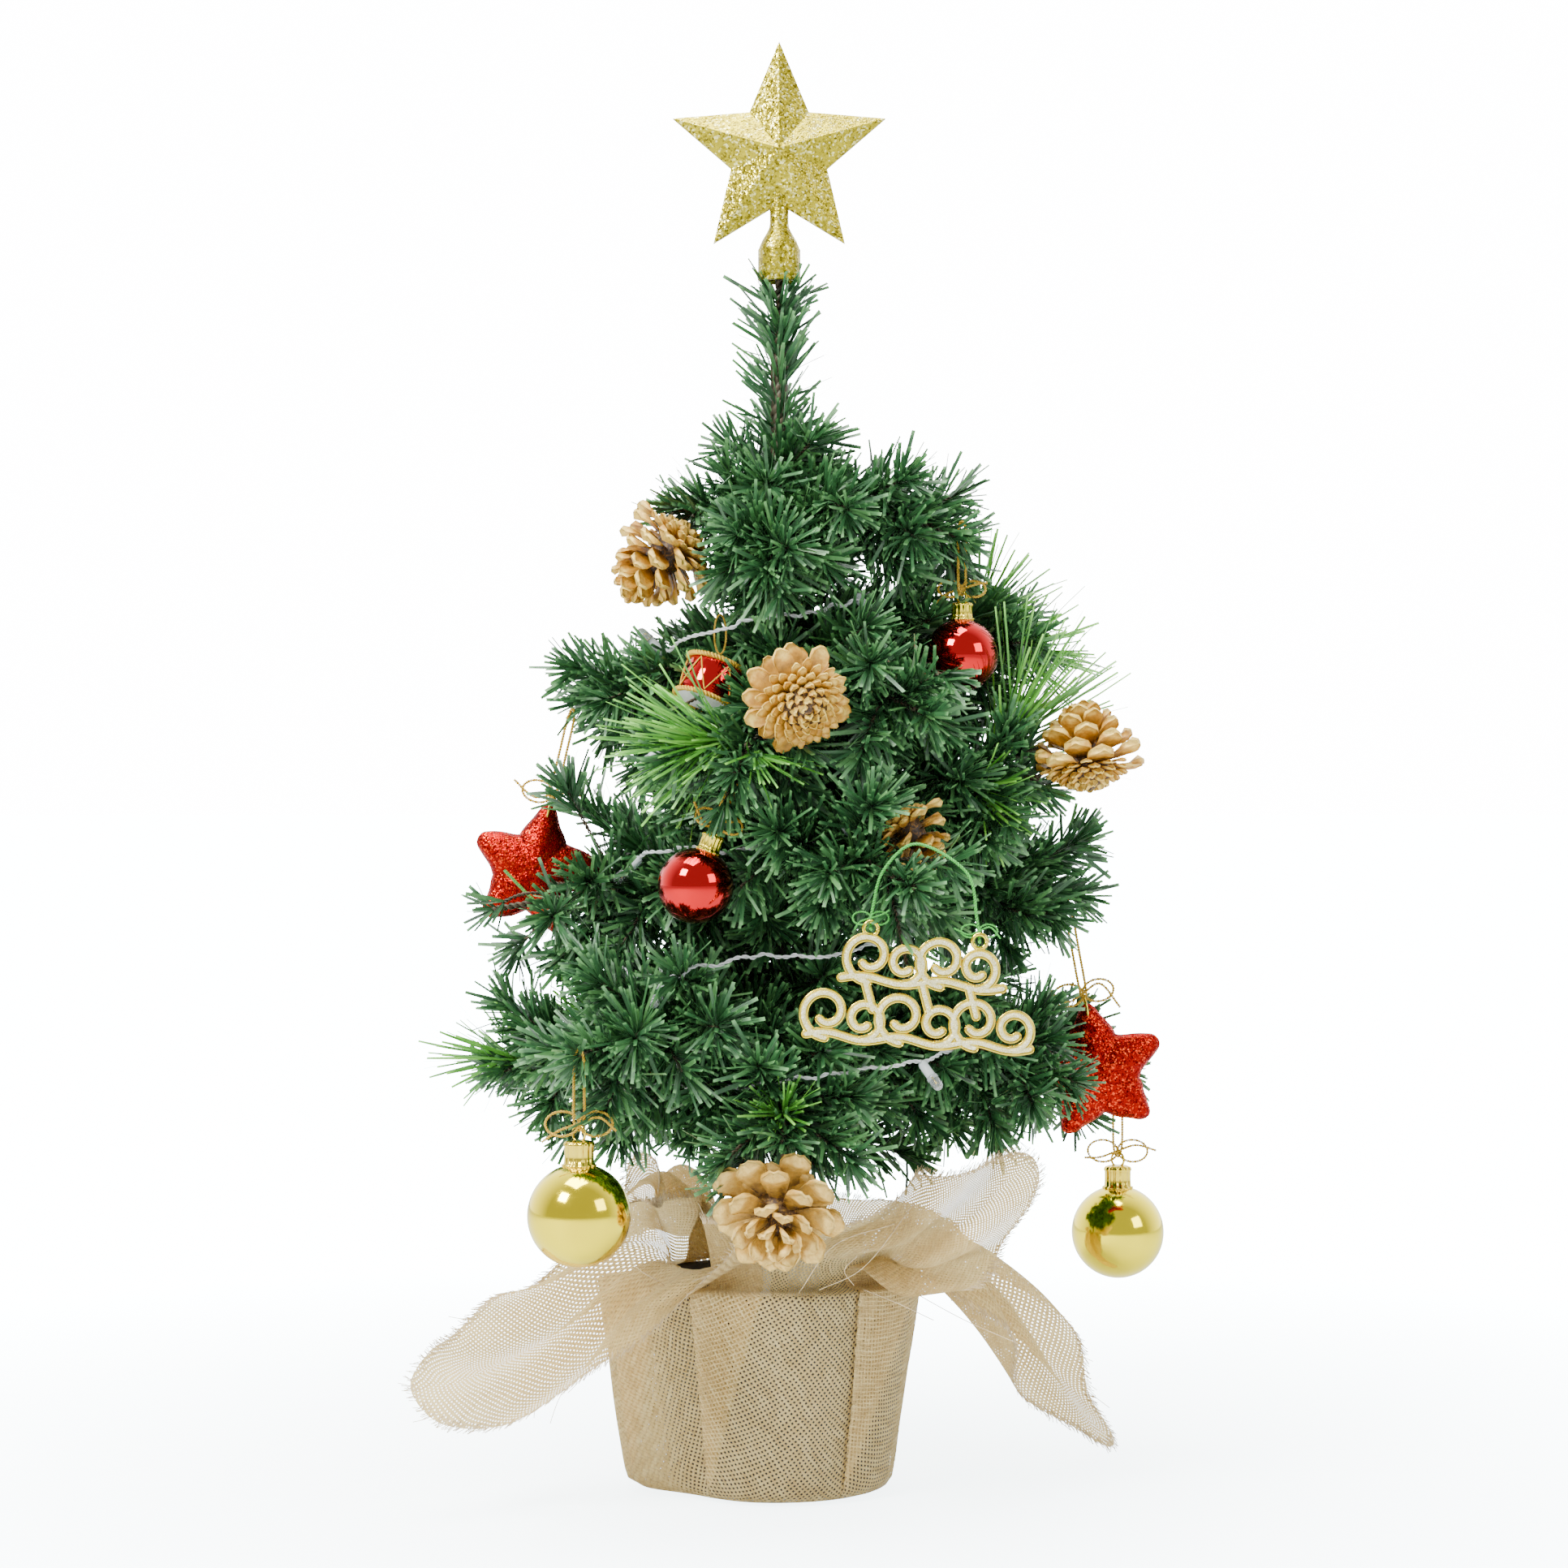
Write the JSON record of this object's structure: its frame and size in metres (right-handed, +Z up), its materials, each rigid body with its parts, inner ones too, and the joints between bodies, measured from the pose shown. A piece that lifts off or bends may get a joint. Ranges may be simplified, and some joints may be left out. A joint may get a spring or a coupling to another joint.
{
  "type": "artificial tabletop christmas tree",
  "caption": "tabletop artificial tree with decorations, star topper and wired lights in a pot wrapped in burlap",
  "frame": {"origin": "on the floor, at the centre of the wrapped pot's flat underside, under the trunk", "axes": "+Z up the trunk, +X to the tree's right as seen from the front, +Y to its back (the front faces -Y)"},
  "size_m": [0.3174, 0.2493, 0.6],
  "materials": {
    "burlap": "matte",
    "dark_plastic": "matte",
    "cement": "matte",
    "green_wire": "satin",
    "needles": "satin",
    "white_plastic": "satin",
    "clear_vinyl": "gloss",
    "gold_glitter": "satin",
    "green_thread": "matte",
    "gold_thread": "satin",
    "gold_wire": "polished",
    "gold_foil": "polished",
    "red_glitter": "satin",
    "red_foil": "polished",
    "pine_cone": "satin"
  },
  "bodies": {
    "base": {"pot": "dark_plastic", "ballast": "cement", "burlap_wrap": "burlap", "burlap_collar": "burlap", "trunk_pole": "green_wire", "leader": "needles", "battery_case": "white_plastic", "light_string": "clear_vinyl"},
    "topper": {"topper_socket": "gold_glitter", "topper_star_front": "gold_glitter", "topper_star_back": "gold_glitter"},
    "lid": {"battery_lid": "white_plastic"},
    "switch": {"battery_switch": "dark_plastic"},
    "branch_a_right": {"branch_a_right": "needles"},
    "branch_a_left": {"branch_a_left": "needles", "pine_cone_upper_left": "pine_cone"},
    "branch_a_front": {"branch_a_front": "needles"},
    "branch_a_back": {"branch_a_back": "needles"},
    "branch_b_right": {"branch_b_right": "needles"},
    "branch_b_left": {"branch_b_left": "needles"},
    "branch_b_front_left": {"branch_b_front_left": "needles", "pine_cone_centre": "pine_cone", "drum": "red_foil", "drum_thread": "gold_thread"},
    "branch_b_front_right": {"branch_b_front_right": "needles"},
    "branch_b_back": {"branch_b_back": "needles"},
    "branch_c_right": {"branch_c_right": "needles", "pine_cone_right": "pine_cone"},
    "branch_c_right_back": {"branch_c_right_back": "needles"},
    "branch_c_left": {"branch_c_left": "needles"},
    "branch_c_front": {"branch_c_front": "needles", "pine_cone_small": "pine_cone"},
    "branch_c_back": {"branch_c_back": "needles"},
    "branch_d_left": {"branch_d_left": "needles"},
    "branch_d_front_left": {"branch_d_front_left": "needles"},
    "branch_d_front": {"branch_d_front": "needles", "pine_cone_front": "pine_cone"},
    "branch_d_right": {"branch_d_right": "needles"},
    "branch_d_right_back": {"branch_d_right_back": "needles"},
    "branch_d_back": {"branch_d_back": "needles"},
    "red_bauble_right": {"red_bauble_right": "red_foil", "red_bauble_right_cap": "gold_foil", "red_bauble_right_thread": "gold_thread"},
    "red_bauble_left": {"red_bauble_left": "red_foil", "red_bauble_left_cap": "gold_foil", "red_bauble_left_thread": "gold_thread"},
    "gold_bauble_left": {"gold_bauble_left": "gold_foil", "gold_bauble_left_cap": "gold_foil", "gold_bauble_left_thread": "gold_thread"},
    "gold_bauble_right": {"gold_bauble_right": "gold_foil", "gold_bauble_right_cap": "gold_foil", "gold_bauble_right_thread": "gold_thread"},
    "red_star_right": {"red_star_right": "red_glitter", "red_star_right_eyelet": "gold_wire", "red_star_right_thread": "gold_thread"},
    "red_star_left": {"red_star_left": "red_glitter", "red_star_left_eyelet": "gold_wire", "red_star_left_thread": "gold_thread"},
    "scroll_plaque": {"scroll_plaque": "gold_glitter", "plaque_thread": "green_thread"}
  },
  "joints": [
    {"name": "topper_lift", "type": "slide", "parent": "base", "child": "topper", "axis": [0, 0, 1], "range_m": [0, 0.03]},
    {"name": "battery_lid_slide", "type": "slide", "parent": "base", "child": "lid", "axis": [0, 0, 1], "range_m": [0, 0.045]},
    {"name": "switch_slide", "type": "slide", "parent": "base", "child": "switch", "axis": [-1, 0, 0], "range_m": [0, 0.004]},
    {"name": "bend_a_right", "type": "hinge", "parent": "base", "child": "branch_a_right", "pos_m": [0, 0, 0.412], "axis": [-0.2588, -0.9659, 0], "range_deg": [-8, 10], "deforming": ["light_string"]},
    {"name": "bend_a_left", "type": "hinge", "parent": "base", "child": "branch_a_left", "pos_m": [0, 0, 0.402], "axis": [-0.1045, 0.9945, 0], "range_deg": [-8, 10], "deforming": ["light_string"]},
    {"name": "bend_a_front", "type": "hinge", "parent": "base", "child": "branch_a_front", "pos_m": [0, 0, 0.402], "axis": [-0.9962, 0.0872, 0], "range_deg": [-8, 10], "deforming": ["light_string"]},
    {"name": "bend_a_back", "type": "hinge", "parent": "base", "child": "branch_a_back", "pos_m": [0, 0, 0.402], "axis": [0.9781, -0.2079, 0], "range_deg": [-8, 10], "deforming": ["light_string"]},
    {"name": "bend_b_right", "type": "hinge", "parent": "base", "child": "branch_b_right", "pos_m": [0, 0, 0.35], "axis": [0.1736, -0.9848, 0], "range_deg": [-8, 10], "deforming": ["light_string"]},
    {"name": "bend_b_left", "type": "hinge", "parent": "base", "child": "branch_b_left", "pos_m": [0, 0, 0.346], "axis": [0.0349, 0.9994, 0], "range_deg": [-8, 10], "deforming": ["light_string"]},
    {"name": "bend_b_front_left", "type": "hinge", "parent": "base", "child": "branch_b_front_left", "pos_m": [0, 0, 0.34], "axis": [-0.9816, 0.1908, 0], "range_deg": [-6, 10], "deforming": ["light_string"]},
    {"name": "bend_b_front_right", "type": "hinge", "parent": "base", "child": "branch_b_front_right", "pos_m": [0, 0, 0.348], "axis": [-0.766, -0.6428, 0], "range_deg": [-8, 10], "deforming": ["light_string"]},
    {"name": "bend_b_back", "type": "hinge", "parent": "base", "child": "branch_b_back", "pos_m": [0, 0, 0.345], "axis": [0.9945, 0.1045, 0], "range_deg": [-8, 10], "deforming": ["light_string"]},
    {"name": "bend_c_right", "type": "hinge", "parent": "base", "child": "branch_c_right", "pos_m": [0, 0, 0.286], "axis": [-0.1392, -0.9903, 0], "range_deg": [-8, 10], "deforming": ["light_string"]},
    {"name": "bend_c_right_back", "type": "hinge", "parent": "base", "child": "branch_c_right_back", "pos_m": [0, 0, 0.262], "axis": [0.225, -0.9744, 0], "range_deg": [-8, 10], "deforming": ["light_string"]},
    {"name": "bend_c_left", "type": "hinge", "parent": "base", "child": "branch_c_left", "pos_m": [0, 0, 0.256], "axis": [-0.1736, 0.9848, 0], "range_deg": [-8, 10], "deforming": ["light_string"]},
    {"name": "bend_c_front", "type": "hinge", "parent": "base", "child": "branch_c_front", "pos_m": [0, 0, 0.276], "axis": [-0.8988, -0.4384, 0], "range_deg": [-8, 10], "deforming": ["light_string"]},
    {"name": "bend_c_back", "type": "hinge", "parent": "base", "child": "branch_c_back", "pos_m": [0, 0, 0.268], "axis": [0.9511, 0.309, 0], "range_deg": [-8, 10], "deforming": ["light_string"]},
    {"name": "bend_d_left", "type": "hinge", "parent": "base", "child": "branch_d_left", "pos_m": [0, 0, 0.192], "axis": [-0.0698, 0.9976, 0], "range_deg": [-8, 10], "deforming": ["light_string"]},
    {"name": "bend_d_front_left", "type": "hinge", "parent": "base", "child": "branch_d_front_left", "pos_m": [0, 0, 0.198], "axis": [-0.809, 0.5878, 0], "range_deg": [-8, 10], "deforming": ["light_string"]},
    {"name": "bend_d_front", "type": "hinge", "parent": "base", "child": "branch_d_front", "pos_m": [0, 0, 0.186], "axis": [-0.9998, -0.0175, 0], "range_deg": [-8, 10], "deforming": ["light_string"]},
    {"name": "bend_d_right", "type": "hinge", "parent": "base", "child": "branch_d_right", "pos_m": [0, 0, 0.194], "axis": [-0.2079, -0.9781, 0], "range_deg": [-8, 10], "deforming": ["light_string"]},
    {"name": "bend_d_right_back", "type": "hinge", "parent": "base", "child": "branch_d_right_back", "pos_m": [0, 0, 0.206], "axis": [0.4067, -0.9135, 0], "range_deg": [-8, 10], "deforming": ["light_string"]},
    {"name": "bend_d_back", "type": "hinge", "parent": "base", "child": "branch_d_back", "pos_m": [0, 0, 0.196], "axis": [0.9272, 0.3746, 0], "range_deg": [-8, 10], "deforming": ["light_string"]},
    {"name": "swing_red_bauble_right", "type": "hinge", "parent": "branch_a_right", "child": "red_bauble_right", "pos_m": [0.07499, -0.02009, 0.39869], "axis": [1, 0, 0], "range_deg": [-8, 6]},
    {"name": "swing_red_bauble_left", "type": "hinge", "parent": "branch_b_front_left", "child": "red_bauble_left", "pos_m": [-0.01561, -0.07609, 0.29825], "axis": [1, 0, 0], "range_deg": [-8, 8]},
    {"name": "swing_gold_bauble_left", "type": "hinge", "parent": "branch_d_front_left", "child": "gold_bauble_left", "pos_m": [-0.07689, -0.10584, 0.18874], "axis": [1, 0, 0], "range_deg": [-8, 8]},
    {"name": "swing_gold_bauble_right", "type": "hinge", "parent": "branch_d_right_back", "child": "gold_bauble_right", "pos_m": [0.14744, 0.06564, 0.1693], "axis": [1, 0, 0], "range_deg": [-8, 8]},
    {"name": "swing_red_star_right", "type": "hinge", "parent": "branch_c_right_back", "child": "red_star_right", "pos_m": [0.12177, 0.028, 0.24216], "axis": [1, 0, 0], "range_deg": [-8, 6]},
    {"name": "swing_red_star_left", "type": "hinge", "parent": "branch_b_left", "child": "red_star_left", "pos_m": [-0.08595, 0.00298, 0.32239], "axis": [1, 0, 0], "range_deg": [0, 8]},
    {"name": "swing_scroll_plaque", "type": "hinge", "parent": "branch_c_front", "child": "scroll_plaque", "pos_m": [0.055, -0.108, 0.268], "axis": [1, 0, 0], "range_deg": [-8, 8]}
  ]
}
